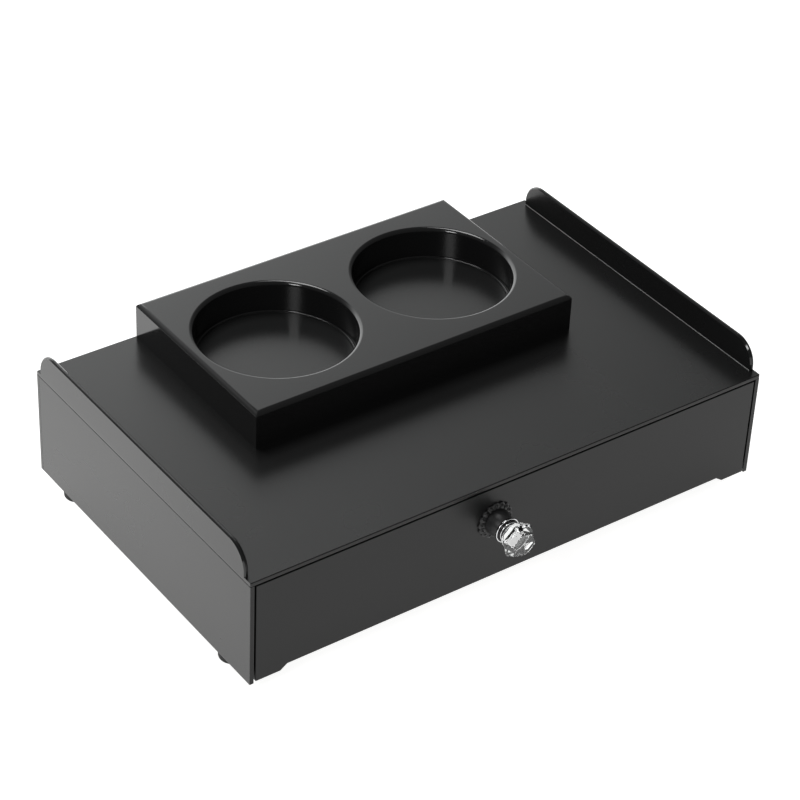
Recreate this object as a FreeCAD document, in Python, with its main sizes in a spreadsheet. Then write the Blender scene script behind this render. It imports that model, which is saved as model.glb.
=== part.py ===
import FreeCAD, Part
import math
import os

import Sketcher

# Countertop storage drawer box with a raised two-well holder and a crystal knob.
# Millimetres, +Z up, +X to the right along the front, +Y towards the back.
# The origin is on the floor, under the middle of the whole object's box.

doc = FreeCAD.newDocument("storage_drawer")

# Driving dimensions. Heights are above the floor; "in" and "set" sizes are distances inwards.
SIZES = {
    "case_width": 400.0,
    "case_depth": 257.0,
    "board": 3.0,             # sheet thickness of every board
    "side_base": 12.0,        # height of the side panels' lower edges
    "deck_top": 92.0,         # height of the top panel's upper face
    "bottom_low": 17.0,       # height of the bottom panel's underside
    "bottom_set": 4.0,        # bottom panel's front edge, behind the drawer's face
    "rail_rise": 20.0,
    "rail_corner": 17.0,
    "rail_front_set": 6.4,
    "rail_rear_set": 4.4,
    "holder_width": 251.0,
    "holder_depth": 146.0,
    "holder_rise": 27.0,
    "holder_front_set": 109.5,
    "holder_round": 3.5,
    "holder_rebate": 6.0,     # wall left round the base plate let into the underside
    "holder_floor": 4.0,
    "well_pitch": 126.0,
    "well_radius": 54.0,
    "well_round": 3.0,
    "mat_radius": 52.4,
    "mat_gap": 0.3,
    "mat_thick": 1.5,
    "foot_side_in": 13.3,     # foot centre, from the case's outer side
    "foot_front_in": 40.0,
    "foot_rear_in": 25.0,
    "foot_top_radius": 10.0,
    "foot_low_radius": 9.2,
    "foot_round": 2.0,
    "foot_recess_radius": 5.0,
    "foot_recess_top": 11.5,
    "shank_radius": 2.0,
    "sunk_head_radius": 4.0,
    "sunk_head_height": 2.2,
    "foot_screw_low": 7.5,
    "nut_corner_radius": 4.04,
    "nut_thick": 3.2,
    "holder_screw_top": 104.0,
    "holder_screw_side_in": 11.0,
    "holder_screw_end_in": 13.0,
    "front_side_gap": 1.4,
    "front_top_gap": 1.0,
    "front_toe": 13.0,        # height of the drawer front's two lower ends
    "front_raised": 16.6,     # height of its raised middle
    "toe_inner": 18.0,        # toe length, from the case's outer side
    "toe_slope_end": 23.0,
    "box_side_gap": 2.0,      # drawer box to side panel
    "box_low": 20.3,          # underside of the drawer floor
    "box_top": 81.0,
    "box_back_gap": 3.0,
    "knob_left": 17.6,        # knob axis, left of the middle
    "knob_height": 63.0,
    "rosette_radius": 13.4,
    "rosette_edge": 1.2,
    "rosette_crown": 2.4,
    "scallop_radius": 1.5,
    "boss_base_radius": 9.4,
    "boss_neck_radius": 6.2,
    "collar_start": 12.4,
    "collar_end": 14.8,
    "collar_radius": 8.8,
    "neck_end": 16.8,
    "crystal_back_radius": 6.8,
    "girdle_start": 24.4,
    "girdle_end": 25.6,
    "girdle_radius": 12.3,
    "table_radius": 8.6,
    "knob_reach": 31.0,       # drawer face to the crystal's flat front
    "knob_screw_depth": 9.0,
    "pan_head_radius": 4.0,
    "pan_head_height": 2.6,
    "washer_radius": 5.0,
    "washer_thick": 0.8,
    "screw_hole_radius": 2.2,
}

sheet = doc.addObject("Spreadsheet::Sheet", "Sizes")
for row, (alias, value) in enumerate(SIZES.items(), start=1):
    sheet.set(f"A{row}", alias)
    sheet.set(f"B{row}", str(value))
    sheet.setAlias(f"B{row}", alias)
doc.recompute()

nodes = []


def bound(text):
    """Return an expression in which each size's name reads its cell in the sheet."""
    words = []
    word = ""
    for letter in text + " ":
        if letter.isalnum() or letter == "_":
            word += letter
            continue
        words.append(f"Sizes.{word}" if word in SIZES else word)
        words.append(letter)
        word = ""
    return "".join(words).strip()


def bind(item, **places):
    """Bind properties of an object to expressions in the sheet's sizes."""
    for name, text in places.items():
        item.setExpression(name, bound(text))


def place(item, x="0", y="0", z="0"):
    """Bind an object's position."""
    for axis, text in zip("xyz", (x, y, z)):
        item.setExpression(f"Placement.Base.{axis}", bound(text))


def keep(item, label):
    """Name an object as a sub-part."""
    item.Label = label
    nodes.append(item)
    return item


# Places shared by many pieces, as expressions in the sheet's sizes.
HALF = "case_width / 2"
BACK = "(case_depth + knob_reach) / 2"
FRONT = "(knob_reach - case_depth) / 2"
DECK_LOW = "deck_top - board"
BOTTOM_TOP = "bottom_low + board"


def box(name, size, corner):
    """A rectangular board: size and lowest corner as expressions."""
    board = doc.addObject("Part::Box", name)
    bind(board, Length=size[0], Width=size[1], Height=size[2])
    place(board, *corner)
    return board


def round_bar(name, kind, radii, length, corner):
    """An upright cylinder or cone."""
    bar = doc.addObject(kind, name)
    if kind == "Part::Cone":
        bind(bar, Radius1=radii[0], Radius2=radii[1], Height=length)
    else:
        bind(bar, Radius=radii[0], Height=length)
    place(bar, *corner)
    return bar


def cut(name, base, tool):
    """One solid with another taken out of it."""
    result = doc.addObject("Part::Cut", name)
    result.Base = base
    result.Tool = tool
    return result


def group(name, members):
    """Several separate solids in one node."""
    result = doc.addObject("Part::Compound", name)
    result.Links = members
    return result


def new_body(name, x="0", y="0", z="0"):
    """A body with a bound position."""
    body = doc.addObject("PartDesign::Body", name)
    place(body, x, y, z)
    return body


def sketch_on(body, name, plane):
    """A sketch on one of a body's own origin planes."""
    sketch = body.newObject("Sketcher::SketchObject", name)
    origin_plane = [item for item in body.Origin.OriginFeatures if item.Role == plane][0]
    sketch.AttachmentSupport = [(origin_plane, "")]
    sketch.MapMode = "FlatFace"
    return sketch


def pin_point(sketch, geometry, position, x, y):
    """Fix one point of a sketch by its distances from the origin."""
    for kind, text in (("DistanceX", x), ("DistanceY", y)):
        index = sketch.addConstraint(Sketcher.Constraint(kind, -1, 1, geometry, position, 1.0))
        sketch.setExpression(f"Constraints[{index}]", bound(text))


START_RADIUS = 30


def polygon(sketch, points):
    """A closed outline of straight lines through points given as expressions.

    The lines start as a regular polygon, and the constraints pull each corner to its place.
    """
    count = len(points)
    turn = 2 * math.pi / count
    start = [FreeCAD.Vector(math.cos(turn * i), math.sin(turn * i), 0) * START_RADIUS for i in range(count)]
    for i in range(count):
        sketch.addGeometry(Part.LineSegment(start[i], start[(i + 1) % count]), False)
    for i in range(count):
        sketch.addConstraint(Sketcher.Constraint("Coincident", i, 2, (i + 1) % count, 1))
    for i, (x, y) in enumerate(points):
        pin_point(sketch, i, 1, x, y)


def rectangle(sketch, half_x, half_y):
    """A rectangle centred on the sketch's origin."""
    signs = ((-1, -1), (1, -1), (1, 1), (-1, 1))
    polygon(sketch, [(f"{sx} * ({half_x})", f"{sy} * ({half_y})") for sx, sy in signs])


def circles(sketch, radius, centres):
    """Circles of one radius."""
    for index, (x, y) in enumerate(centres):
        circle = Part.Circle(FreeCAD.Vector(10 * index, 10, 0), FreeCAD.Vector(0, 0, 1), 3)
        sketch.addGeometry(circle, False)
        pin_point(sketch, index, 3, x, y)
        size = sketch.addConstraint(Sketcher.Constraint("Radius", index, 3.0))
        sketch.setExpression(f"Constraints[{size}]", bound(radius))


def pad(body, sketch, length, reverse=False):
    """Raise a sketch into a solid."""
    feature = body.newObject("PartDesign::Pad", "Pad")
    feature.Profile = sketch
    feature.Reversed = reverse
    feature.setExpression("Length", bound(length))
    return feature


def pocket(body, sketch, length, reverse=True):
    """Cut a sketch into a solid, checking that it takes material away."""
    doc.recompute()
    before = body.Shape.Volume
    feature = body.newObject("PartDesign::Pocket", "Pocket")
    feature.Profile = sketch
    feature.Reversed = reverse
    feature.setExpression("Length", bound(length))
    doc.recompute()
    if body.Shape.Volume > before - 0.01:
        raise RuntimeError(f"{body.Name}: a pocket removed nothing")
    return feature


def round_edges(body, radius, wanted):
    """Round the edges of the body's solid that the test picks."""
    doc.recompute()
    tip = body.Tip
    names = [f"Edge{i}" for i, edge in enumerate(tip.Shape.Edges, start=1) if wanted(edge)]
    fillet = body.newObject("PartDesign::Fillet", "Fillet")
    fillet.Base = (tip, names)
    fillet.setExpression("Radius", bound(radius))
    return fillet


def turned(name, points, plane, at):
    """A piece turned on a lathe: its half profile runs round the sketch's upright axis."""
    body = new_body(name, *at)
    sketch = sketch_on(body, "Profile", plane)
    polygon(sketch, points)
    turn = body.newObject("PartDesign::Revolution", "Turn")
    turn.Profile = sketch
    turn.ReferenceAxis = (sketch, ["V_Axis"])
    turn.Angle = 360
    return body


def sunk_screw(name, x, y, head_z, shank_z, shank_length, head_up):
    """A countersunk screw, standing upright, with its head up or down."""
    radii = ("shank_radius", "sunk_head_radius") if head_up else ("sunk_head_radius", "shank_radius")
    head = round_bar(f"{name}_head", "Part::Cone", radii, "sunk_head_height", (x, y, head_z))
    shank = round_bar(f"{name}_shank", "Part::Cylinder", ("shank_radius",), shank_length, (x, y, shank_z))
    screw = doc.addObject("Part::MultiFuse", name)
    screw.Shapes = [head, shank]
    return screw


# Rubber feet: tapered, each with a nut in its recess and a countersunk screw from above.
FEET = {
    "front_left": (f"foot_side_in - {HALF}", f"{FRONT} + foot_front_in"),
    "front_right": (f"{HALF} - foot_side_in", f"{FRONT} + foot_front_in"),
    "rear_left": (f"foot_side_in - {HALF}", f"{BACK} - foot_rear_in"),
    "rear_right": (f"{HALF} - foot_side_in", f"{BACK} - foot_rear_in"),
}
FOOT_PROFILE = [
    ("shank_radius", "bottom_low"),
    ("foot_top_radius", "bottom_low"),
    ("foot_low_radius", "0"),
    ("foot_recess_radius", "0"),
    ("foot_recess_radius", "foot_recess_top"),
    ("shank_radius", "foot_recess_top"),
]
foot_screws = []
foot_nuts = []
for corner, (x, y) in FEET.items():
    foot = turned(f"foot_{corner}", FOOT_PROFILE, "XZ_Plane", (x, y, "0"))
    round_edges(foot, "foot_round", lambda edge: edge.BoundBox.ZMax < 0.01
                and edge.BoundBox.XLength > 2 * SIZES["foot_low_radius"] - 0.1)
    keep(foot, f"foot_{corner}")
    foot_screws.append(sunk_screw(
        f"foot_screw_{corner}", x, y, f"{BOTTOM_TOP} - sunk_head_height", "foot_screw_low",
        f"{BOTTOM_TOP} - sunk_head_height - foot_screw_low", True))
    blank = doc.addObject("Part::Prism", f"nut_blank_{corner}")
    blank.Polygon = 6
    bind(blank, Circumradius="nut_corner_radius", Height="nut_thick")
    place(blank, x, y, "foot_recess_top - nut_thick")
    hole = round_bar(f"nut_hole_{corner}", "Part::Cylinder", ("shank_radius",), "nut_thick",
                     (x, y, "foot_recess_top - nut_thick"))
    foot_nuts.append(cut(f"nut_{corner}", blank, hole))
keep(group("foot_screws", foot_screws), "foot_screws")
keep(group("foot_nuts", foot_nuts), "foot_nuts")

# Bottom board, between the sides and in front of the back.
bottom_board = box("bottom_board", ("case_width - 2 * board", "case_depth - bottom_set - board", "board"),
                   (f"board - {HALF}", f"{FRONT} + bottom_set", "bottom_low"))
keep(cut("bottom_cut", bottom_board, doc.getObject("foot_screws")), "bottom_panel")

# Side panels stand under the top panel; the back panel covers their rear ends.
for side, x in (("left", f"-{HALF}"), ("right", f"{HALF} - board")):
    panel = box(f"{side}_side", ("board", "case_depth - board", f"{DECK_LOW} - side_base"),
                (x, FRONT, "side_base"))
    keep(panel, f"{side}_side_panel")
keep(box("back", ("case_width", "board", f"{DECK_LOW} - side_base"),
         (f"-{HALF}", f"{BACK} - board", "side_base")), "back_panel")

# Screws that come up through the top panel into the holder.
HOLDER_Y = f"{FRONT} + holder_front_set + holder_depth / 2"
SCREW_X = "(holder_width / 2 - holder_screw_side_in)"
SCREW_Y = "(holder_depth / 2 - holder_screw_end_in)"
CORNERS = [(-1, -1), (1, -1), (1, 1), (-1, 1)]
holder_screws = []
for number, (sx, sy) in enumerate(CORNERS):
    shank_low = f"{DECK_LOW} + sunk_head_height"
    holder_screws.append(sunk_screw(
        f"holder_screw_{number}", f"{sx} * {SCREW_X}", f"{HOLDER_Y} + {sy} * {SCREW_Y}",
        DECK_LOW, shank_low, f"holder_screw_top - ({shank_low})", False))
keep(group("holder_screws", holder_screws), "holder_screws")

# Top panel, full width and depth, lying on the sides and the back.
top_board = box("top_board", ("case_width", "case_depth", "board"), (f"-{HALF}", FRONT, DECK_LOW))
keep(cut("top_cut", top_board, doc.getObject("holder_screws")), "top_panel")

# Side rails: strips on edge along the top panel, with large rounded upper corners.
for side, x in (("left", f"-{HALF}"), ("right", f"{HALF} - board")):
    rail = new_body(f"{side}_rail", x, "0", "deck_top")
    outline = sketch_on(rail, "Outline", "YZ_Plane")
    front_end = f"{FRONT} + rail_front_set"
    rear_end = f"{BACK} - rail_rear_set"
    polygon(outline, [(front_end, "0"), (rear_end, "0"), (rear_end, "rail_rise"), (front_end, "rail_rise")])
    pad(rail, outline, "board")
    round_edges(rail, "rail_corner", lambda edge: edge.BoundBox.ZMin > SIZES["rail_rise"] - 0.01
                and edge.BoundBox.XLength > SIZES["board"] - 0.01 and edge.BoundBox.YLength < 0.01)
    keep(rail, f"{side}_rail")

# Holder block: two round wells right through, and a rebate below for its base plate.
block = new_body("holder_block", "0", HOLDER_Y, "deck_top")
outline = sketch_on(block, "Outline", "XY_Plane")
rectangle(outline, "holder_width / 2", "holder_depth / 2")
pad(block, outline, "holder_rise")
rebate = sketch_on(block, "Rebate", "XY_Plane")
rectangle(rebate, "holder_width / 2 - holder_rebate", "holder_depth / 2 - holder_rebate")
pocket(block, rebate, "holder_floor")
wells = sketch_on(block, "Wells", "XY_Plane")
WELL_CENTRES = [("-well_pitch / 2", "0"), ("well_pitch / 2", "0")]
circles(wells, "well_radius", WELL_CENTRES)
pocket(block, wells, "holder_rise + 1")
pilots = sketch_on(block, "Pilots", "XY_Plane")
circles(pilots, "shank_radius", [(f"{sx} * {SCREW_X}", f"{sy} * {SCREW_Y}") for sx, sy in CORNERS])
pocket(block, pilots, "holder_screw_top - deck_top")


def at_holder_top(edge):
    return edge.BoundBox.ZMin > SIZES["holder_rise"] - 0.01


def is_rim(edge):
    return isinstance(edge.Curve, Part.Circle)


round_edges(block, "well_round", lambda edge: at_holder_top(edge) and is_rim(edge))
round_edges(block, "holder_round", lambda edge: at_holder_top(edge) and not is_rim(edge)
            and edge.Length > SIZES["holder_depth"] - 0.1)
keep(block, "holder_block")

# Base plate in the rebate, with a shallow round recess for each mat.
plate = box("base_board",
            ("holder_width - 2 * holder_rebate", "holder_depth - 2 * holder_rebate", "holder_floor"),
            ("holder_rebate - holder_width / 2", f"{HOLDER_Y} + holder_rebate - holder_depth / 2",
             "deck_top"))
recesses = []
for side, sign in (("left", -1), ("right", 1)):
    centre = (f"{sign} * well_pitch / 2", HOLDER_Y, "deck_top + holder_floor - mat_thick")
    recesses.append(round_bar(f"recess_{side}", "Part::Cylinder", ("mat_radius + mat_gap",),
                              "mat_thick + 1", centre))
    mat = round_bar(f"mat_{side}", "Part::Cylinder", ("mat_radius",), "mat_thick", centre)
    keep(mat, f"well_mat_{side}")
recessed = cut("base_recessed", plate, group("recesses", recesses))
keep(cut("base_drilled", recessed, doc.getObject("holder_screws")), "holder_base")

# Drawer front: flush with the case, its lower edge raised between two short toes.
front = new_body("drawer_front", "0", FRONT, "0")
outline = sketch_on(front, "Outline", "XZ_Plane")
front_half = f"({HALF} - board - front_side_gap)"
front_top = f"{DECK_LOW} - front_top_gap"
polygon(outline, [
    (f"-{front_half}", "front_toe"),
    (f"toe_inner - {HALF}", "front_toe"),
    (f"toe_slope_end - {HALF}", "front_raised"),
    (f"{HALF} - toe_slope_end", "front_raised"),
    (f"{HALF} - toe_inner", "front_toe"),
    (front_half, "front_toe"),
    (front_half, front_top),
    (f"-{front_half}", front_top),
])
pad(front, outline, "board", reverse=True)
knob_hole = sketch_on(front, "KnobHole", "XZ_Plane")
circles(knob_hole, "screw_hole_radius", [("-knob_left", "knob_height")])
pocket(front, knob_hole, "board + 1", reverse=False)
keep(front, "drawer_front")

# Drawer box: floor between the sides, back between the sides, all behind the front.
BOX_HALF = f"({HALF} - board - box_side_gap)"
BOX_FRONT = f"{FRONT} + board"
BOX_LENGTH = "(case_depth - 2 * board - box_back_gap)"
BOX_RISE = "(box_top - box_low)"
for side, x in (("left", f"-{BOX_HALF}"), ("right", f"{BOX_HALF} - board")):
    keep(box(f"box_{side}", ("board", BOX_LENGTH, BOX_RISE), (x, BOX_FRONT, "box_low")),
         f"drawer_{side}_side")
INNER = (f"2 * {BOX_HALF} - 2 * board", f"board - {BOX_HALF}")
keep(box("box_back", (INNER[0], "board", BOX_RISE),
         (INNER[1], f"{BOX_FRONT} + {BOX_LENGTH} - board", "box_low")), "drawer_back")
keep(box("box_floor", (INNER[0], f"{BOX_LENGTH} - board", "board"),
         (INNER[1], BOX_FRONT, "box_low")), "drawer_floor")

# Knob: its pieces are turned about one axis that stands out of the drawer's face.
KNOB_AT = ("-knob_left", FRONT, "knob_height")
rosette = turned("knob_rosette", [
    ("screw_hole_radius", "0"),
    ("rosette_radius", "0"),
    ("rosette_radius", "-rosette_edge"),
    ("boss_base_radius", "-rosette_crown"),
    ("screw_hole_radius", "-rosette_crown"),
], "XY_Plane", KNOB_AT)
scallop = sketch_on(rosette, "Scallop", "XZ_Plane")
circles(scallop, "scallop_radius", [("rosette_radius + scallop_radius * 0.45", "0")])
notch = pocket(rosette, scallop, "rosette_crown + 1")
scallops = rosette.newObject("PartDesign::PolarPattern", "Scallops")
scallops.Originals = [notch]
turning_axis = [item for item in rosette.Origin.OriginFeatures if item.Role == "Y_Axis"][0]
scallops.Axis = (turning_axis, [""])
scallops.Angle = 360
scallops.Occurrences = 16
rosette.Tip = scallops
keep(rosette, "knob_rosette")

keep(turned("knob_boss", [
    ("0", "-knob_screw_depth"),
    ("shank_radius", "-knob_screw_depth"),
    ("shank_radius", "-rosette_crown"),
    ("boss_base_radius", "-rosette_crown"),
    ("boss_neck_radius", "-collar_start"),
    ("boss_neck_radius", "-neck_end"),
    ("0", "-neck_end"),
], "XY_Plane", KNOB_AT), "knob_boss")

keep(turned("knob_collar", [
    ("boss_neck_radius", "-collar_start"),
    ("collar_radius", "-collar_start"),
    ("collar_radius", "-collar_end"),
    ("boss_neck_radius", "-collar_end"),
], "XY_Plane", KNOB_AT), "knob_collar")

keep(turned("knob_crystal", [
    ("0", "-neck_end"),
    ("crystal_back_radius", "-neck_end"),
    ("girdle_radius", "-girdle_start"),
    ("girdle_radius", "-girdle_end"),
    ("table_radius", "-knob_reach"),
    ("0", "-knob_reach"),
], "XY_Plane", KNOB_AT), "knob_crystal")

# The washer and the pan-head screw that holds the knob, from inside the drawer.
keep(turned("knob_washer", [
    ("screw_hole_radius", "board"),
    ("washer_radius", "board"),
    ("washer_radius", "board + washer_thick"),
    ("screw_hole_radius", "board + washer_thick"),
], "XY_Plane", KNOB_AT), "knob_washer")
HEAD_SEAT = "board + washer_thick"
keep(turned("knob_screw", [
    ("0", "-knob_screw_depth"),
    ("shank_radius", "-knob_screw_depth"),
    ("shank_radius", HEAD_SEAT),
    ("pan_head_radius", HEAD_SEAT),
    ("pan_head_radius", f"{HEAD_SEAT} + pan_head_height * 0.6"),
    ("pan_head_radius * 0.7", f"{HEAD_SEAT} + pan_head_height"),
    ("0", f"{HEAD_SEAT} + pan_head_height"),
], "XY_Plane", KNOB_AT), "knob_screw")

doc.recompute()
for item in doc.Objects:
    if "Invalid" in item.State or "Error" in item.State:
        raise RuntimeError(f"{item.Name} failed: {item.State}")
for node in nodes:
    if node.Shape.isNull() or not node.Shape.isValid() or not node.Shape.Solids:
        raise RuntimeError(f"{node.Label} has no valid solid")

os.makedirs("parts", exist_ok=True)
for node in nodes:
    node.Shape.exportStep(f"parts/{node.Label}.step")
whole = Part.makeCompound([node.Shape for node in nodes]).BoundBox
print(f"{len(nodes)} nodes, X {whole.XMin:.2f} {whole.XMax:.2f}, "
      f"Y {whole.YMin:.2f} {whole.YMax:.2f}, Z {whole.ZMin:.2f} {whole.ZMax:.2f}")
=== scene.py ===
import math
from math import cos, pi, radians, sin

import bmesh
import bpy
from mathutils import Matrix, Vector


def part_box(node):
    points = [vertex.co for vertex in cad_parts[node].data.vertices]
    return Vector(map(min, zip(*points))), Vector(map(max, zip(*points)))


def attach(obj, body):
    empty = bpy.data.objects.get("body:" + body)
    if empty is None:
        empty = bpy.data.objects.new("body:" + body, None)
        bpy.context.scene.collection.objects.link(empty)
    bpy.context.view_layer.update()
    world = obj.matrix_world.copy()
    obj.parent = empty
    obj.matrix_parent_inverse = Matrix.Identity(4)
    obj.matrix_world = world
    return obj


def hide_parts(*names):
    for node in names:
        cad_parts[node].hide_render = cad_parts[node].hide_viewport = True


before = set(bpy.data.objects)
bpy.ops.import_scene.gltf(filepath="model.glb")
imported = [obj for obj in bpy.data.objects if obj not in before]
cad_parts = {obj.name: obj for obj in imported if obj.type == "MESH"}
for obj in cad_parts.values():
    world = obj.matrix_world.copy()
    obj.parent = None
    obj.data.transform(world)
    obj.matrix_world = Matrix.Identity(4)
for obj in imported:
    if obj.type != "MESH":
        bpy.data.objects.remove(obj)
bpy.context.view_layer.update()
MM = 0.001

# ---------------------------------------------------------------------------
# The studio: a pale paper floor, lit and also glowing by its own emission, with a painted
# pool of brighter glow on the left, in a dark room with soft boxes behind, overhead and
# on the left, and a camera above the front left corner.
# ---------------------------------------------------------------------------
scene = bpy.context.scene
scene.view_settings.view_transform = "Standard"

EYE = Vector((-0.8791, -1.1562, 1.1310))
LOOK = Vector((0.48606, 0.64771, -0.58669))
CAMERA_ROLL = radians(2.74)
SENSOR = 36.0
LENS = 123.16

camera_data = bpy.data.cameras.new("camera")
camera_data.sensor_width = SENSOR
camera_data.lens = LENS
camera_data.clip_end = 30.0
camera = bpy.data.objects.new("camera", camera_data)
scene.collection.objects.link(camera)
aim = LOOK.to_track_quat("-Z", "Y").to_matrix() @ Matrix.Rotation(CAMERA_ROLL, 3, "Z")
camera.matrix_world = Matrix.Translation(EYE) @ aim.to_4x4()
scene.camera = camera

FLOOR_HALF = 6.0
FLOOR_GLOW = 0.93
LEFT_GLOW_FRONT = 0.89
LEFT_GLOW_REAR = 1.14
LEFT_PART_EDGE = (-0.17, -0.215)
LEFT_GLOW_RUN = (-0.15, 0.22)
floor_mesh = bpy.data.meshes.new("paper_floor")
floor_mesh.from_pydata(
    [(-FLOOR_HALF, -FLOOR_HALF, 0), (FLOOR_HALF, -FLOOR_HALF, 0),
     (FLOOR_HALF, FLOOR_HALF, 0), (-FLOOR_HALF, FLOOR_HALF, 0)], [], [(0, 1, 2, 3)])
floor = bpy.data.objects.new("paper_floor", floor_mesh)
scene.collection.objects.link(floor)


def new_material(name):
    """A material with nodes, its node tree and its shader."""
    material = bpy.data.materials.new(name)
    material.use_nodes = True
    return material, material.node_tree, material.node_tree.nodes["Principled BSDF"]


PAPER_TONE = (0.5, 0.5, 0.5, 1)
PAPER_LIGHT = (1, 0.998, 0.992, 1)
paper, paper_tree, paper_shader = new_material("glowing_paper")
paper_shader.inputs["Base Color"].default_value = PAPER_TONE
paper_shader.inputs["Roughness"].default_value = 0.9
paper_shader.inputs["Specular IOR Level"].default_value = 0.1
paper_shader.inputs["Emission Color"].default_value = PAPER_LIGHT
paper_place = paper_tree.nodes.new("ShaderNodeTexCoord")
paper_axes = paper_tree.nodes.new("ShaderNodeSeparateXYZ")
paper_tree.links.new(paper_place.outputs["Object"], paper_axes.inputs["Vector"])


def paper_ramp(axis, start, end, low, high):
    """A smooth change of one value along the floor."""
    ramp = paper_tree.nodes.new("ShaderNodeMapRange")
    ramp.interpolation_type = "SMOOTHSTEP"
    for label, value in (("From Min", start), ("From Max", end), ("To Min", low), ("To Max", high)):
        ramp.inputs[label].default_value = value
    paper_tree.links.new(paper_axes.outputs[axis], ramp.inputs["Value"])
    return ramp.outputs["Result"]


# Painted light: the floor's left part glows brighter, a painted pool of light that the case's left side
# mirrors.
left_part = paper_ramp("X", *LEFT_PART_EDGE, 0.0, 1.0)
left_glow = paper_ramp("Y", *LEFT_GLOW_RUN, LEFT_GLOW_FRONT, LEFT_GLOW_REAR)
floor_glow = paper_tree.nodes.new("ShaderNodeMix")
floor_glow.inputs["A"].default_value = FLOOR_GLOW
paper_tree.links.new(left_part, floor_glow.inputs["Factor"])
paper_tree.links.new(left_glow, floor_glow.inputs["B"])
paper_tree.links.new(floor_glow.outputs["Result"], paper_shader.inputs["Emission Strength"])
floor_mesh.materials.append(paper)

SKY_BASE = 0.11
BACK_BOX = (0.103, 0.980, 0.171)
BACK_BOX_WIDTH = 11.0
BACK_BOX_PEAK = 7.8
BACK_BOX_LEVEL = 2.6
BACK_BOX_TOP = (0.67, 0.76)
BACK_BOX_SPILL = 0.12
SKY_COLOUR = (0.985, 1, 0.995, 1)
world = bpy.data.worlds.new("dark_studio")
world.use_nodes = True
sky_tree = world.node_tree
sky = sky_tree.nodes["Background"]
sky.inputs["Color"].default_value = SKY_COLOUR
scene.world = world


def chain(node_tree, operation, source, *values):
    """One step of arithmetic on a value."""
    step = node_tree.nodes.new("ShaderNodeMath")
    step.operation = operation
    node_tree.links.new(source, step.inputs[0])
    for place, value in enumerate(values, start=1):
        step.inputs[place].default_value = value
    return step.outputs[0]


def combine(node_tree, operation, first, second):
    """Arithmetic on two values."""
    step = node_tree.nodes.new("ShaderNodeMath")
    step.operation = operation
    node_tree.links.new(first, step.inputs[0])
    node_tree.links.new(second, step.inputs[1])
    return step.outputs[0]


sky_place = sky_tree.nodes.new("ShaderNodeTexCoord").outputs["Generated"]
aligned = sky_tree.nodes.new("ShaderNodeVectorMath")
aligned.operation = "DOT_PRODUCT"
aligned.inputs[1].default_value = BACK_BOX
sky_tree.links.new(sky_place, aligned.inputs[0])
falloff = chain(sky_tree, "MULTIPLY_ADD", aligned.outputs["Value"], BACK_BOX_WIDTH, -BACK_BOX_WIDTH)
back_light = chain(sky_tree, "EXPONENT", falloff)
back_light = chain(sky_tree, "MULTIPLY", back_light, BACK_BOX_PEAK)
back_light = chain(sky_tree, "MINIMUM", back_light, BACK_BOX_LEVEL)
sky_axes = sky_tree.nodes.new("ShaderNodeSeparateXYZ")
sky_tree.links.new(sky_place, sky_axes.inputs["Vector"])
top_edge = sky_tree.nodes.new("ShaderNodeMapRange")
top_edge.interpolation_type = "SMOOTHSTEP"
top_edge.inputs["From Min"].default_value, top_edge.inputs["From Max"].default_value = BACK_BOX_TOP
top_edge.inputs["To Min"].default_value, top_edge.inputs["To Max"].default_value = 1.0, BACK_BOX_SPILL
sky_tree.links.new(sky_axes.outputs["Z"], top_edge.inputs["Value"])
back_light = combine(sky_tree, "MULTIPLY", back_light, top_edge.outputs["Result"])
sky_light = chain(sky_tree, "ADD", back_light, SKY_BASE)
sky_tree.links.new(sky_light, sky.inputs["Strength"])


BOX_AIM = Vector((0, 0, 0.1))


def soft_box(name, place, size, power):
    """A rectangular studio light, aimed at the object."""
    light_data = bpy.data.lights.new(name, "AREA")
    light_data.shape = "RECTANGLE"
    light_data.size, light_data.size_y = size
    light_data.energy = power
    light = bpy.data.objects.new(name, light_data)
    scene.collection.objects.link(light)
    aimed = (BOX_AIM - Vector(place)).to_track_quat("-Z", "Y").to_matrix().to_4x4()
    light.matrix_world = Matrix.Translation(Vector(place)) @ aimed


soft_box("top_box", (-0.1, 0.75, 2.25), (1.2, 0.85), 24.0)
soft_box("left_box", (-1.87, -0.99, 1.55), (0.5, 0.85), 16.0)

# ---------------------------------------------------------------------------
# Case boards: 3 mm black sheet, satin faces with a very fine grain. The top panel
# lies on the sides and the back laps over their rear ends; all edges are cemented
# and lightly broken, so each joint shows as a hairline.
# ---------------------------------------------------------------------------


def new_group(name, inputs, outputs):
    """An empty shader node group with named sockets: inputs as (name, default) pairs."""
    group = bpy.data.node_groups.new(name, "ShaderNodeTree")
    for label, default in inputs:
        kind = "NodeSocketColor" if isinstance(default, tuple) else "NodeSocketFloat"
        socket = group.interface.new_socket(label, in_out="INPUT", socket_type=kind)
        socket.default_value = default
    for label, kind in outputs:
        group.interface.new_socket(label, in_out="OUTPUT", socket_type=kind)
    return group, group.nodes.new("NodeGroupInput"), group.nodes.new("NodeGroupOutput")


def noise_texture(node_tree, scale, detail):
    """Noise that is fixed to the piece."""
    where = node_tree.nodes.new("ShaderNodeTexCoord")
    noise = node_tree.nodes.new("ShaderNodeTexNoise")
    noise.inputs["Scale"].default_value = scale
    noise.inputs["Detail"].default_value = detail
    node_tree.links.new(where.outputs["Object"], noise.inputs["Vector"])
    return noise


BLOTCH_SCALE = 9.0
DUST_SCALE = 260.0
DUST_SIZE = 0.045
DUST_RARITY = 0.82
DUST_COLOUR = (0.16, 0.16, 0.155, 1)


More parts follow.
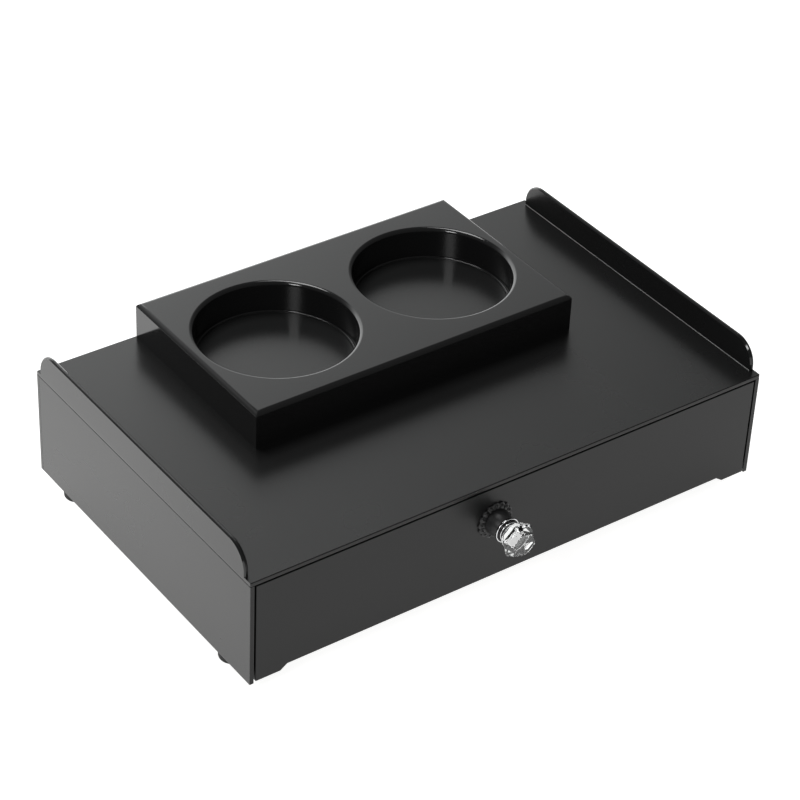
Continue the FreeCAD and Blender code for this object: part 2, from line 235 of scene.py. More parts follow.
def sheet_grain_group():
    """Satin sheet: fine moulded grain, slow blotches of gloss, and a few dust specks."""
    group, given, made = new_group(
        "sheet_grain",
        [("Colour", (0.03, 0.03, 0.03, 1)), ("Roughness", 0.4), ("Grain Scale", 2400.0),
         ("Blotch", 0.05), ("Dust", 0.5)],
        [("Colour", "NodeSocketColor"), ("Roughness", "NodeSocketFloat"), ("Height", "NodeSocketFloat")])
    nodes, links = group.nodes, group.links

    grain = noise_texture(group, 1.0, 3.0)
    grain.inputs["Roughness"].default_value = 0.6
    links.new(given.outputs["Grain Scale"], grain.inputs["Scale"])

    cloud = noise_texture(group, BLOTCH_SCALE, 4.0)
    centred = chain(group, "SUBTRACT", cloud.outputs["Fac"], 0.5)
    blotch = combine(group, "MULTIPLY", centred, given.outputs["Blotch"])
    roughness = combine(group, "ADD", given.outputs["Roughness"], blotch)

    where = nodes.new("ShaderNodeTexCoord")
    specks = nodes.new("ShaderNodeTexVoronoi")
    specks.inputs["Scale"].default_value = DUST_SCALE
    links.new(where.outputs["Object"], specks.inputs["Vector"])
    near = chain(group, "LESS_THAN", specks.outputs["Distance"], DUST_SIZE)
    chance = nodes.new("ShaderNodeSeparateColor")
    links.new(specks.outputs["Color"], chance.inputs["Color"])
    few = chain(group, "GREATER_THAN", chance.outputs["Red"], DUST_RARITY)
    dust = combine(group, "MULTIPLY", combine(group, "MULTIPLY", near, few), given.outputs["Dust"])
    dusty = nodes.new("ShaderNodeMix")
    dusty.data_type = "RGBA"
    dusty.inputs["B"].default_value = DUST_COLOUR
    links.new(dust, dusty.inputs["Factor"])
    links.new(given.outputs["Colour"], dusty.inputs["A"])

    links.new(dusty.outputs["Result"], made.inputs["Colour"])
    links.new(roughness, made.inputs["Roughness"])
    links.new(grain.outputs["Fac"], made.inputs["Height"])
    return group


WEAR_REACH = 0.6 * MM


def edge_wear_group():
    """Where an edge is rubbed: a mask from bevelled normals, broken up by noise."""
    group, given, made = new_group(
        "edge_wear",
        [("Colour", (0.03, 0.03, 0.03, 1)), ("Worn Colour", (0.1, 0.1, 0.1, 1)), ("Amount", 0.4)],
        [("Colour", "NodeSocketColor")])
    nodes, links = group.nodes, group.links
    shape = nodes.new("ShaderNodeNewGeometry")
    rounded = nodes.new("ShaderNodeBevel")
    rounded.samples = 4
    rounded.inputs["Radius"].default_value = WEAR_REACH
    facing = nodes.new("ShaderNodeVectorMath")
    facing.operation = "DOT_PRODUCT"
    links.new(rounded.outputs["Normal"], facing.inputs[0])
    links.new(shape.outputs["Normal"], facing.inputs[1])
    edge = nodes.new("ShaderNodeMapRange")
    edge.inputs["From Min"].default_value = 0.99
    edge.inputs["From Max"].default_value = 0.90
    links.new(facing.outputs["Value"], edge.inputs["Value"])
    broken = noise_texture(group, 70.0, 5.0)
    patch = combine(group, "MULTIPLY", edge.outputs["Result"], broken.outputs["Fac"])
    worn = nodes.new("ShaderNodeMix")
    worn.data_type = "RGBA"
    links.new(combine(group, "MULTIPLY", patch, given.outputs["Amount"]), worn.inputs["Factor"])
    links.new(given.outputs["Colour"], worn.inputs["A"])
    links.new(given.outputs["Worn Colour"], worn.inputs["B"])
    links.new(worn.outputs["Result"], made.inputs["Colour"])
    return group


SHEET_GRAIN = sheet_grain_group()
EDGE_WEAR = edge_wear_group()


def add_bump(node_tree, shader, height, strength, distance):
    """Small relief on a surface, from a height value."""
    bump = node_tree.nodes.new("ShaderNodeBump")
    bump.inputs["Strength"].default_value = strength
    bump.inputs["Distance"].default_value = distance
    node_tree.links.new(height, bump.inputs["Height"])
    node_tree.links.new(bump.outputs["Normal"], shader.inputs["Normal"])


def grained_material(name, colour, roughness, specular=0.5, ior=1.49, blotch=0.05, dust=0.1,
                     grain_scale=2600.0, grain_depth=0.02 * MM, relief=0.35, worn=None, wear=0.5):
    """Plastic, rubber or lacquer made of the grain group and, if its edges wear, the wear group."""
    material, node_tree, shader = new_material(name)
    nodes, links = node_tree.nodes, node_tree.links
    shader.inputs["IOR"].default_value = ior
    shader.inputs["Specular IOR Level"].default_value = specular
    grain = nodes.new("ShaderNodeGroup")
    grain.node_tree = SHEET_GRAIN
    grain.inputs["Colour"].default_value = (*colour, 1)
    grain.inputs["Roughness"].default_value = roughness
    grain.inputs["Grain Scale"].default_value = grain_scale
    grain.inputs["Blotch"].default_value = blotch
    grain.inputs["Dust"].default_value = dust
    surface = grain.outputs["Colour"]
    if wear > 0:
        rubbed = nodes.new("ShaderNodeGroup")
        rubbed.node_tree = EDGE_WEAR
        rubbed.inputs["Worn Colour"].default_value = (*(worn or [3.0 * part + 0.02 for part in colour]), 1)
        rubbed.inputs["Amount"].default_value = wear
        links.new(surface, rubbed.inputs["Colour"])
        surface = rubbed.outputs["Colour"]
    links.new(surface, shader.inputs["Base Color"])
    links.new(grain.outputs["Roughness"], shader.inputs["Roughness"])
    add_bump(node_tree, shader, grain.outputs["Height"], relief, grain_depth)
    return material


def paint(piece, material):
    """Give a piece one material, in place of what it had."""
    piece.data.materials.clear()
    piece.data.materials.append(material)


def break_edges(piece, width, steps=2):
    """Round a board's sharp edges by a hair, as sanding does."""
    weld = piece.modifiers.new("joined_faces", "WELD")
    weld.merge_threshold = 0.002 * MM
    bevel = piece.modifiers.new("broken_edges", "BEVEL")
    bevel.width = width
    bevel.segments = steps
    bevel.limit_method = "ANGLE"
    bevel.angle_limit = radians(40)
    bevel.harden_normals = True


def mesh_piece(name, vertices, faces, material, body, crease=radians(35), edge=0.0, left_sharp=None):
    """A new piece on a body, smooth up to a crease angle. Its edges are rounded if asked, but
    not those whose middles left_sharp picks out."""
    mesh = bpy.data.meshes.new(name)
    mesh.from_pydata(vertices, [], faces)
    work = bmesh.new()
    work.from_mesh(mesh)
    bmesh.ops.remove_doubles(work, verts=work.verts, dist=0.001 * MM)
    bmesh.ops.recalc_face_normals(work, faces=work.faces)
    if edge > 0:
        rounded = [line for line in work.edges
                   if not (left_sharp and left_sharp((line.verts[0].co + line.verts[1].co) / 2))]
        bmesh.ops.bevel(work, geom=rounded, offset=edge, segments=3, profile=0.5, affect="EDGES")
    work.to_mesh(mesh)
    work.free()
    mesh.shade_smooth()
    mesh.set_sharp_from_angle(angle=crease)
    mesh.materials.append(material)
    piece = bpy.data.objects.new(name, mesh)
    scene.collection.objects.link(piece)
    weighted = piece.modifiers.new("face_weighted", "WEIGHTED_NORMAL")
    weighted.keep_sharp = True
    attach(piece, body)
    return piece


def loft(rings, closed_ends=True):
    """Faces between rings of equal length, each a closed loop of points."""
    count = len(rings[0])
    vertices = [point for ring in rings for point in ring]
    faces = []
    for level in range(len(rings) - 1):
        low, high = level * count, (level + 1) * count
        for i in range(count):
            j = (i + 1) % count
            faces.append((low + i, low + j, high + j, high + i))
    if closed_ends:
        faces.append(tuple(reversed(range(count))))
        faces.append(tuple(range((len(rings) - 1) * count, len(rings) * count)))
    return vertices, faces


def build_board(node, outline, material, body, edge, left_sharp=None):
    """A board drawn as an (x, z) outline through its depth, in place of its plain node."""
    low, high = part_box(node)
    rings = [[(x, y, z) for x, z in outline] for y in (low.y, high.y)]
    piece = mesh_piece(f"{node}_board", *loft(rings), material, body, edge=edge, left_sharp=left_sharp)
    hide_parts(node)
    return piece


def box_outline(node):
    """A plain board's outline, from its box."""
    low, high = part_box(node)
    return [(low.x, low.z), (high.x, low.z), (high.x, high.z), (low.x, high.z)]


BOARD_COLOUR = (0.0078, 0.0079, 0.0079)
BOARD_EDGE = 0.35 * MM
DECK_EDGE = 0.55 * MM
SEAM_EDGE = 0.22 * MM
board = grained_material("satin_sheet", BOARD_COLOUR, 0.27, dust=0.12)
sawn_edge = grained_material("sawn_edge", BOARD_COLOUR, 0.34, specular=0.26, grain_depth=0.03 * MM)
polished_edge = grained_material("polished_edge", BOARD_COLOUR, 0.12, dust=0.0, grain_depth=0.01 * MM)
FRONTWARD = -0.3
SQUARE = 0.97
deck_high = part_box("top_panel")[1]


def dull_front(piece):
    """The board's front edge is left as sawn, duller than its faces."""
    piece.data.materials.append(sawn_edge)
    for face in piece.data.polygons:
        if face.normal.y < FRONTWARD:
            face.material_index = 1


def polish_edges(piece, least_side=0.0):
    """The broken edges are flame-polished, so they mirror more crisply than the faces."""
    piece.data.materials.append(polished_edge)
    place = len(piece.data.materials) - 1
    for face in piece.data.polygons:
        if max(abs(part) for part in face.normal) < SQUARE and abs(face.normal.x) >= least_side:
            face.material_index = place


def under_rail(middle):
    """The top panel's upper side edges, which the rails cover."""
    return abs(abs(middle.x) - deck_high.x) < 0.01 * MM and abs(middle.z - deck_high.z) < 0.01 * MM


deck_board = build_board("top_panel", box_outline("top_panel"), board, "case", DECK_EDGE, under_rail)
case_boards = [deck_board]
for name in ("left_side_panel", "right_side_panel", "back_panel"):
    case_boards.append(build_board(name, box_outline(name), board, "case", SEAM_EDGE))
for piece in case_boards:
    dull_front(piece)
    polish_edges(piece)
paint(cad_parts["bottom_panel"], board)
break_edges(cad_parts["bottom_panel"], SEAM_EDGE)

# ---------------------------------------------------------------------------
# Side rails: strips of the same sheet stood on edge along the top panel and cemented,
# which leaves a thin bead along the foot, toned pale grey as a painted highlight of the
# bright line the light draws there. Their upper corners are sawn to a large round, and
# the edges are chamfered and polished.
# ---------------------------------------------------------------------------
RAIL_CORNER = 17.0 * MM
RAIL_EDGE = 0.9 * MM
CORNER_STEPS = 28
CEMENT = 0.36 * MM
CEMENT_SET_BACK = 1.0 * MM
# Painted highlight: the cement bead is real, but its pale grey tone stands in for the bright line light
# draws along the rail's foot.
CEMENT_HIGHLIGHT_TONE = (0.14, 0.14, 0.139)
cement_and_highlight = grained_material("cement_painted_highlight", CEMENT_HIGHLIGHT_TONE, 0.25, blotch=0.15, dust=0.0,
                          grain_scale=600.0, grain_depth=0.05 * MM)


def rail_outline(low, high, inset):
    """The rail's side view, drawn in by an inset, as (y, z) points."""
    front, rear = low.y + inset, high.y - inset
    foot, crest = low.z, high.z - inset
    reach = RAIL_CORNER - inset
    points = [(front, foot), (rear, foot)]
    for step in range(CORNER_STEPS + 1):
        turn = pi / 2 * step / CORNER_STEPS
        points.append((rear - reach + reach * cos(turn), crest - reach + reach * sin(turn)))
    for step in range(CORNER_STEPS + 1):
        turn = pi / 2 * (1 + step / CORNER_STEPS)
        points.append((front + reach + reach * cos(turn), crest - reach + reach * sin(turn)))
    return points


def build_rail(node):
    """One rail with its chamfers, and the bead of cement along its inner foot."""
    low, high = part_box(node)
    cuts = ((low.x, RAIL_EDGE), (low.x + RAIL_EDGE, 0), (high.x - RAIL_EDGE, 0), (high.x, RAIL_EDGE))
    rings = [[(x, y, z) for y, z in rail_outline(low, high, inset)] for x, inset in cuts]
    rail = mesh_piece(f"{node}_strip", *loft(rings), board, "case")
    dull_front(rail)
    polish_edges(rail, 0.2)
    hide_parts(node)

    inner, inward = (high.x, 1) if high.x < 0 else (low.x, -1)
    bead = [(CEMENT * (1 - sin(turn)), CEMENT * (1 - cos(turn)))
            for turn in (pi / 2 * step / 6 for step in range(7))] + [(0, 0)]
    ends = [[(inner + inward * out, y, low.z + up) for out, up in bead]
            for y in (low.y + CEMENT_SET_BACK, high.y - CEMENT_SET_BACK)]
    mesh_piece(f"{node}_cement", *loft(ends), cement_and_highlight, "case")


for node in ("left_rail", "right_rail"):
    build_rail(node)

# ---------------------------------------------------------------------------
# Rubber feet: moulded, slightly tapered, with a rounded tread, a recess that
# hides the nut, and a fine parting line. A countersunk screw holds each one.
# ---------------------------------------------------------------------------


def turn_profile(profile, segments, centre, axis="Z"):
    """Rings of a piece turned on a lathe: profile is (radius, height) from end to end."""
    rings = []
    for radius, height in profile:
        ring = []
        for i in range(segments):
            angle = 2 * pi * i / segments
            across, up = radius * cos(angle), radius * sin(angle)
            if axis == "Z":
                ring.append((centre[0] + across, centre[1] + up, centre[2] + height))
            else:
                ring.append((centre[0] + across, centre[1] - height, centre[2] + up))
        rings.append(ring)
    return rings


def arc(centre, radius, start, end, steps):
    """Points of an arc in (radius, height), angles in degrees."""
    points = []
    for i in range(steps + 1):
        angle = radians(start + (end - start) * i / steps)
        points.append((centre[0] + radius * cos(angle), centre[1] + radius * sin(angle)))
    return points


def closed_turn(rings):
    """Faces of a ring-shaped piece, whose last ring joins the first."""
    vertices, faces = loft(rings, closed_ends=False)
    count = len(rings[0])
    last = (len(rings) - 1) * count
    for i in range(count):
        j = (i + 1) % count
        faces.append((last + i, last + j, j, i))
    return vertices, faces


rubber = grained_material("moulded_rubber", (0.018, 0.018, 0.018), 0.72, specular=0.35, ior=1.5, dust=0.8,
                          grain_scale=900.0, grain_depth=0.1 * MM, relief=0.6, wear=0.0)

FOOT_TOP_RADIUS = 10.0 * MM
FOOT_LOW_RADIUS = 9.2 * MM
FOOT_ROUND = 2.0 * MM
FOOT_RECESS = 5.0 * MM
FOOT_RECESS_TOP = 11.5 * MM
FOOT_BORE = 2.0 * MM


def build_foot(node):
    """One foot, turned about its screw."""
    low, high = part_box(node)
    centre = ((low.x + high.x) / 2, (low.y + high.y) / 2, low.z)
    height = high.z - low.z
    line = 0.62 * height
    lip = 0.25 * MM
    profile = [(FOOT_RECESS, 0.5 * MM), (FOOT_RECESS + 0.5 * MM, 0)]
    profile += arc((FOOT_LOW_RADIUS - FOOT_ROUND, FOOT_ROUND), FOOT_ROUND, -90, 0, 8)
    profile += [(FOOT_TOP_RADIUS - 0.3 * MM, line), (FOOT_TOP_RADIUS - 0.05 * MM, line + lip),
                (FOOT_TOP_RADIUS - 0.3 * MM, line + 2 * lip), (FOOT_TOP_RADIUS, height - 0.6 * MM),
                (FOOT_TOP_RADIUS - 0.2 * MM, height - 0.1 * MM), (FOOT_TOP_RADIUS - 0.5 * MM, height),
                (FOOT_BORE, height), (FOOT_BORE, FOOT_RECESS_TOP), (FOOT_RECESS, FOOT_RECESS_TOP)]
    rings = turn_profile(profile, 64, centre)
    foot = mesh_piece(f"{node}_rubber", *closed_turn(rings), rubber, "case")
    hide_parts(node)


for corner in ("front_left", "front_right", "rear_left", "rear_right"):
    build_foot(f"foot_{corner}")

# ---------------------------------------------------------------------------
# Screws, nuts and the washer: zinc-plated steel with lightly broken edges. Countersunk
# heads sit flush in the boards, and the nuts are held in the recesses of the feet.
# ---------------------------------------------------------------------------


def mottle(node_tree, shader, noise, dark, bright, roughness, span=(0.0, 1.0)):
    """A tone and a gloss that both follow the noise, each between two ends."""
    nodes, links = node_tree.nodes, node_tree.links
    tone = nodes.new("ShaderNodeValToRGB")
    for stop, place, colour in zip(tone.color_ramp.elements, span, (dark, bright)):
        stop.position = place
        stop.color = (*colour, 1)
    links.new(noise.outputs["Fac"], tone.inputs["Fac"])
    links.new(tone.outputs["Color"], shader.inputs["Base Color"])
    gloss = nodes.new("ShaderNodeMapRange")
    gloss.inputs["To Min"].default_value, gloss.inputs["To Max"].default_value = roughness
    links.new(noise.outputs["Fac"], gloss.inputs["Value"])
    links.new(gloss.outputs["Result"], shader.inputs["Roughness"])


zinc, zinc_tree, zinc_shader = new_material("zinc_plate")
zinc_shader.inputs["Metallic"].default_value = 1.0
zinc_noise = noise_texture(zinc_tree, 900.0, 4.0)
mottle(zinc_tree, zinc_shader, zinc_noise, (0.42, 0.42, 0.44), (0.62, 0.62, 0.62), (0.25, 0.45))
for name in ("foot_screws", "foot_nuts", "holder_screws", "knob_washer", "knob_screw"):
    paint(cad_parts[name], zinc)
    break_edges(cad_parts[name], 0.15 * MM)

# ---------------------------------------------------------------------------
# Holder block: a thick block lacquered to a gloss, routed with two round wells.
# Its upper edges are rounded over and meet in mitres at the sharp upright corners.
# ---------------------------------------------------------------------------
lacquer = grained_material("gloss_lacquer", (0.0105, 0.0105, 0.0107), 0.11, ior=1.51, grain_scale=700.0,
                           grain_depth=0.05 * MM, relief=0.15, worn=(0.03, 0.03, 0.03), wear=0.3)

WELL_RADIUS = 54.0 * MM
WELL_ROUND = 3.0 * MM
HOLDER_ROUND = 3.5 * MM
ROUND_SWEEP = radians(68)
WELL_FOOT = 0.8 * MM
HOLDER_FLOOR = 4.0 * MM
HOLDER_REBATE = 6.0 * MM
SIDE_STEPS = 26


def half_frame(centre, inner_x, outer_x, low_y, high_y):
    """Points round half of the block, as seen from a well's centre, side by side."""
    corners = [(outer_x, low_y), (outer_x, high_y), (inner_x, high_y), (inner_x, low_y)]
    points = []
    for side in range(4):
        start, end = corners[side], corners[(side + 1) % 4]
        for step in range(SIDE_STEPS):
            part = step / SIDE_STEPS
            angle_start = math.atan2(start[1] - centre[1], start[0] - centre[0])
            angle_end = math.atan2(end[1] - centre[1], end[0] - centre[0])
            sweep = (angle_end - angle_start + pi) % (2 * pi) - pi
            angle = angle_start + sweep * part
            direction = (cos(angle), sin(angle))
            if side % 2 == 0:
                reach = (start[0] - centre[0]) / direction[0]
            else:
                reach = (start[1] - centre[1]) / direction[1]
            points.append((centre[0] + reach * direction[0], centre[1] + reach * direction[1]))
    return points


def circle_towards(centre, radius, targets):
    """Points on a circle, each on the line from the centre to a target."""
    points = []
    for x, y in targets:
        across, along = x - centre[0], y - centre[1]
        reach = math.hypot(across, along)
        points.append((centre[0] + radius * across / reach, centre[1] + radius * along / reach))
    return points


def build_holder_block():
    """The block in two halves that share a seam, each lofted round its own well."""
    low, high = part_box("holder_block")
    middle = ((low.x + high.x) / 2, (low.y + high.y) / 2)
    mat_low, mat_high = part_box("well_mat_right")
    well_x = (mat_low.x + mat_high.x) / 2
    vertices, faces = [], []
    for side in (1, -1):
        centre = (middle[0] + side * (well_x - middle[0]), middle[1])

        def frame_ring(inset, height):
            outer = middle[0] + side * (high.x - middle[0] - inset)
            ring = half_frame(centre, middle[0], outer, low.y + inset, high.y - inset)
            return [(x, y, height) for x, y in ring]

        flat = [(x, y) for x, y, _ in frame_ring(HOLDER_ROUND, high.z)]
        foot = arc((WELL_RADIUS - WELL_FOOT, low.z + HOLDER_FLOOR + WELL_FOOT), WELL_FOOT, -90, 0, 6)
        rings = []
        for radius, height in foot:
            rings.append([(x, y, height) for x, y in circle_towards(centre, radius, flat)])
        for radius, height in arc((WELL_RADIUS + WELL_ROUND, high.z - WELL_ROUND), WELL_ROUND, 180, 90, 10):
            rings.append([(x, y, height) for x, y in circle_towards(centre, radius, flat)])
        rings.append([(*point, high.z) for point in flat])
        for step in range(1, 11):
            turn = ROUND_SWEEP * step / 10
            inset = HOLDER_ROUND * (1 - sin(turn) / sin(ROUND_SWEEP))
            rings.append(frame_ring(inset, high.z - HOLDER_ROUND * (1 - cos(turn)) / sin(ROUND_SWEEP)))
        rings.append(frame_ring(0, low.z))
        rings.append(frame_ring(HOLDER_REBATE, low.z))
        rings.append(frame_ring(HOLDER_REBATE, low.z + HOLDER_FLOOR))
        ring_vertices, ring_faces = closed_turn(rings)
        first = len(vertices)
        vertices += ring_vertices
        for face in ring_faces:
            on_seam = all(abs(ring_vertices[i][0] - middle[0]) < 1e-7 for i in face)
            if not on_seam:
                faces.append(tuple(first + i for i in face))
    block = mesh_piece("holder_block_lacquered", vertices, faces, lacquer, "case", radians(20))
    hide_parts("holder_block")


build_holder_block()

# ---------------------------------------------------------------------------
# Holder base and mats: a satin plate let into the block's underside closes the
# wells, and a thin disc is laid in a shallow recess in the floor of each well.
# ---------------------------------------------------------------------------
well_floor = grained_material("well_floor", (0.0125, 0.0128, 0.0128), 0.26, blotch=0.06, dust=0.15,
                              grain_scale=1800.0)
paint(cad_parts["holder_base"], well_floor)
break_edges(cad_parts["holder_base"], 0.12 * MM)

MAT_EDGE = 0.35 * MM


def build_mat(node):
    """One mat: a thin disc with a rounded upper edge."""
    low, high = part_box(node)
    centre = ((low.x + high.x) / 2, (low.y + high.y) / 2, low.z)
    radius = (high.x - low.x) / 2
    height = high.z - low.z
    profile = [(radius, 0)]
    profile += arc((radius - MAT_EDGE, height - MAT_EDGE), MAT_EDGE, 0, 90, 5)
    profile += [(radius * part, height) for part in (0.97, 0.8, 0.5, 0.2)]
    rings = turn_profile(profile, 160, centre)
    mat = mesh_piece(f"{node}_disc", *loft(rings), well_floor, "case")
    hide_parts(node)


for node in ("well_mat_left", "well_mat_right"):
    build_mat(node)

# ---------------------------------------------------------------------------
# Drawer: a front of the same satin sheet, flush with the case, on a shallow box
# of four more boards. The lower edge is cut up between two short toes.
# ---------------------------------------------------------------------------
face_sheet = grained_material("drawer_sheet", BOARD_COLOUR, 0.37, specular=0.27)
TOE_FLAT = 18.0 * MM
TOE_END = 23.0 * MM
TOE_RISE = 3.6 * MM
face_low, face_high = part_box("drawer_front")
raised = face_low.z + TOE_RISE
face_outline = [
    (face_low.x, face_low.z), (face_low.x + TOE_FLAT, face_low.z), (face_low.x + TOE_END, raised),
    (face_high.x - TOE_END, raised), (face_high.x - TOE_FLAT, face_low.z), (face_high.x, face_low.z),
    (face_high.x, face_high.z), (face_low.x, face_high.z)]
face_board = build_board("drawer_front", face_outline, face_sheet, "drawer", BOARD_EDGE)
for name in ("drawer_left_side", "drawer_right_side", "drawer_back", "drawer_floor"):
    paint(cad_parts[name], face_sheet)
    break_edges(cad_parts[name], SEAM_EDGE)

# ---------------------------------------------------------------------------
# Knob: a cast rosette in antique black, a smooth dark boss, a chrome collar toned near
# black as painted shade, with thin rings of bright chrome as painted highlights, and a
# cut-glass head cemented to the boss. One screw holds it all from inside the drawer.
# ---------------------------------------------------------------------------
knob_low, knob_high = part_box("knob_rosette")
KNOB = ((knob_low.x + knob_high.x) / 2, knob_high.y, (knob_low.z + knob_high.z) / 2)


def metal_material(name, dark, bright, metallic, roughness, scale, bump_depth):
    """Metal or lacquered metal with a mottled tone, gloss and surface."""
    material, node_tree, shader = new_material(name)
    shader.inputs["Metallic"].default_value = metallic
    noise = noise_texture(node_tree, scale, 5.0)
    mottle(node_tree, shader, noise, dark, bright, roughness, span=(0.35, 0.7))
    add_bump(node_tree, shader, noise.outputs["Fac"], 0.4, bump_depth)
    return material


antique = metal_material("antique_black", (0.008, 0.008, 0.008), (0.03, 0.03, 0.031), 0.3, (0.3, 0.5),
                         700.0, 0.1 * MM)
dark_lacquer = metal_material("dark_lacquer", (0.02, 0.02, 0.02), (0.03, 0.03, 0.031), 0.2, (0.32, 0.42),
                              500.0, 0.03 * MM)
# Painted shade and highlight: the collar's chrome is split into a near-black copy for the dark room it
# mirrors and bright chrome rings where its highlights fall.
shaded_chrome = metal_material("chrome_painted_shade", (0.025, 0.025, 0.026), (0.05, 0.05, 0.051), 1.0, (0.08, 0.16),
                        300.0, 0.01 * MM)
highlight_chrome = metal_material("chrome_painted_highlight", (0.78, 0.78, 0.79), (0.86, 0.86, 0.87), 1.0, (0.04, 0.1),
                        300.0, 0.01 * MM)

PETALS = 16
ROSETTE_RADIUS = 13.3 * MM
ROSETTE_EDGE = 1.1 * MM
ROSETTE_CROWN = 2.4 * MM
ROSETTE_HUB = 9.4 * MM
SCREW_HOLE = 2.2 * MM
NOTCH_DEPTH = 1.3 * MM
VEIN_DEPTH = 0.45 * MM
BEAD_RING = 0.86 * ROSETTE_RADIUS
BEAD_RADIUS = 0.9 * MM
BEAD_HEIGHT = 0.8 * MM
BEAD_PROUD = 0.5 * MM
PETAL_STEPS = 20
PLATE_STEPS = 22


def petal_edge(angle):
    """The scalloped outline's radius at an angle."""
    return ROSETTE_RADIUS - NOTCH_DEPTH * (1 - abs(cos(PETALS * angle / 2))) ** 1.2


def petal_relief(angle, radius, part):
    """The plate's height: a crown, veins between the petals and one bead on each."""
    lobe = abs(cos(PETALS * angle / 2))
    fall = ROSETTE_CROWN - (ROSETTE_CROWN - ROSETTE_EDGE) * part ** 1.5
    vein = VEIN_DEPTH * (1 - lobe) ** 2 * sin(pi * min(1.0, part * 1.1))
    bead_out = (radius - BEAD_RING) / BEAD_RADIUS
    bead_turn = math.remainder(angle, 2 * pi / PETALS) * radius / BEAD_RADIUS
    spread = min(1.0, bead_out ** 2 + bead_turn ** 2)
    return min(fall - vein + BEAD_HEIGHT * math.sqrt(1 - spread), ROSETTE_CROWN + BEAD_PROUD)


def rosette_ring(radius_at, height_at):
    """One ring of the plate, its radius and its height worked out at each angle."""
    ring = []
    for i in range(PETALS * PETAL_STEPS):
        angle = 2 * pi * i / (PETALS * PETAL_STEPS)
        radius = radius_at(angle)
        ring.append((KNOB[0] + radius * cos(angle), KNOB[1] - height_at(angle, radius),
                     KNOB[2] + radius * sin(angle)))
    return ring


def build_rosette():
    """The cast plate, lofted from its bore round the back to its raised front."""
    plate_start = ROSETTE_HUB * 0.9
    rings = [rosette_ring(lambda angle: SCREW_HOLE, lambda angle, radius: 0.0),
             rosette_ring(petal_edge, lambda angle, radius: 0.0),
             rosette_ring(petal_edge, lambda angle, radius: 0.5 * ROSETTE_EDGE)]
    for step in range(PLATE_STEPS + 1):
        part = 1 - step / PLATE_STEPS
        rings.append(rosette_ring(
            lambda angle: plate_start + (petal_edge(angle) - plate_start - 0.1 * MM) * part,
            lambda angle, radius: petal_relief(angle, radius, part)))
    rings.append(rosette_ring(lambda angle: SCREW_HOLE, lambda angle, radius: ROSETTE_CROWN))
    rosette = mesh_piece("knob_rosette_cast", *closed_turn(rings), antique, "drawer", radians(50))
    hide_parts("knob_rosette")


build_rosette()

BOSS_BASE = 9.3 * MM
BOSS_NECK = 6.2 * MM
BOSS_BORE = 2.0 * MM
BOSS_BORE_END = 9.0 * MM
BOSS_LEDGE = 0.5 * MM
BOSS_STEPS = 14
COLLAR_START = 12.4 * MM
COLLAR_END = 14.8 * MM
COLLAR_RADIUS = 8.8 * MM
LINE = 0.38 * MM
NECK_END = 16.8 * MM


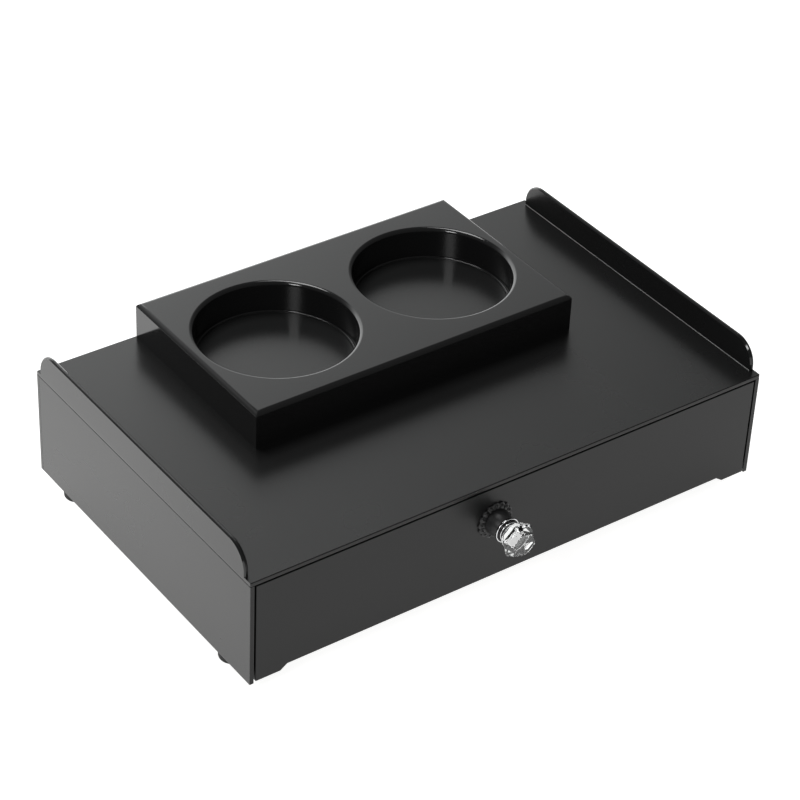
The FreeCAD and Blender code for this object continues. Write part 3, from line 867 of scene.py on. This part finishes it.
def build_boss():
    """The turned boss, the collar on its neck, toned dark as painted shade, and its two bright lines, which
    are painted highlights.
    """
    profile = [(BOSS_BORE, BOSS_BORE_END), (BOSS_BORE, ROSETTE_CROWN),
               (BOSS_BASE - BOSS_LEDGE, ROSETTE_CROWN), (BOSS_BASE, ROSETTE_CROWN + BOSS_LEDGE)]
    for step in range(1, BOSS_STEPS + 1):
        part = step / BOSS_STEPS
        bulge = 0.5 * MM * sin(pi * part)
        radius = BOSS_BASE + (BOSS_NECK + 0.6 * MM - BOSS_BASE) * part + bulge
        profile.append((radius, ROSETTE_CROWN + BOSS_LEDGE + (COLLAR_START - 3.2 * MM) * part))
    profile += [(BOSS_NECK, COLLAR_START), (BOSS_NECK - 0.05 * MM, NECK_END - 0.2 * MM),
                (BOSS_NECK - 0.3 * MM, NECK_END - 0.05 * MM)]
    rings = turn_profile(profile, 96, KNOB, axis="Y")
    boss = mesh_piece("knob_boss_turned", *loft(rings), dark_lacquer, "drawer", radians(40))
    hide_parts("knob_boss")

    bead = (COLLAR_END - COLLAR_START) / 4
    profile = [(BOSS_NECK, COLLAR_END)]
    profile += arc((COLLAR_RADIUS - 2 * bead, COLLAR_END - bead), bead, 90, -60, 10)
    profile += arc((COLLAR_RADIUS - bead, COLLAR_START + bead), bead, 70, -90, 12)
    profile += [(BOSS_NECK, COLLAR_START)]
    collar = mesh_piece("knob_collar_ring", *closed_turn(turn_profile(profile, 96, KNOB, axis="Y")),
                        shaded_chrome, "drawer")
    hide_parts("knob_collar")
    for number, (reach, along) in enumerate(((COLLAR_RADIUS - LINE, COLLAR_START + 2 * bead),
                                             (BOSS_NECK + LINE, COLLAR_END + LINE))):
        circle = arc((reach, along), LINE, 90, -270, 12)[:-1]
        mesh_piece(f"knob_collar_line_{number}", *closed_turn(turn_profile(circle, 96, KNOB, axis="Y")),
                   highlight_chrome, "drawer")


build_boss()

glass, glass_tree, glass_shader = new_material("cut_glass")
glass_shader.inputs["Transmission Weight"].default_value = 1.0
glass_shader.inputs["IOR"].default_value = 1.55
glass_noise = noise_texture(glass_tree, 260.0, 4.0)
mottle(glass_tree, glass_shader, glass_noise, (0.95, 0.97, 0.97), (1, 1, 1), (0.0, 0.03))

FACET_TURN = radians(45)
FACET_EDGE = 0.05 * MM
# rows of facets from the neck to the flat front: how many facets round, corner radius,
# distance from the drawer, and by what part of a facet the row is turned
CRYSTAL_ROWS = (
    (12, 6.8 * MM, NECK_END + 0.02 * MM, 0.0),
    (12, 9.8 * MM, 20.0 * MM, 0.5),
    (6, 12.5 * MM, 24.4 * MM, 0.0),
    (6, 12.0 * MM, 26.0 * MM, 0.0),
    (6, 8.8 * MM, 31.0 * MM, 0.0))


def facet_ring(count, radius, height, offset):
    """Corner points of one row of facets, turned by part of a facet."""
    ring = []
    for i in range(count):
        angle = FACET_TURN + 2 * pi * (i + offset) / count
        ring.append((KNOB[0] + radius * cos(angle), KNOB[1] - height, KNOB[2] + radius * sin(angle)))
    return ring


def build_crystal():
    """The glass head: flat facets between the rows of corners, with hairline edges."""
    work = bmesh.new()
    for row in CRYSTAL_ROWS:
        for point in facet_ring(*row):
            work.verts.new(point)
    bmesh.ops.convex_hull(work, input=work.verts)
    bmesh.ops.dissolve_limit(work, angle_limit=radians(1), verts=work.verts, edges=work.edges)
    bmesh.ops.bevel(work, geom=work.edges, offset=FACET_EDGE, segments=1, affect="EDGES")
    mesh = bpy.data.meshes.new("knob_crystal_cut")
    work.to_mesh(mesh)
    work.free()
    mesh.materials.append(glass)
    crystal = bpy.data.objects.new("knob_crystal_cut", mesh)
    scene.collection.objects.link(crystal)
    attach(crystal, "drawer")
    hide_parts("knob_crystal")


build_crystal()
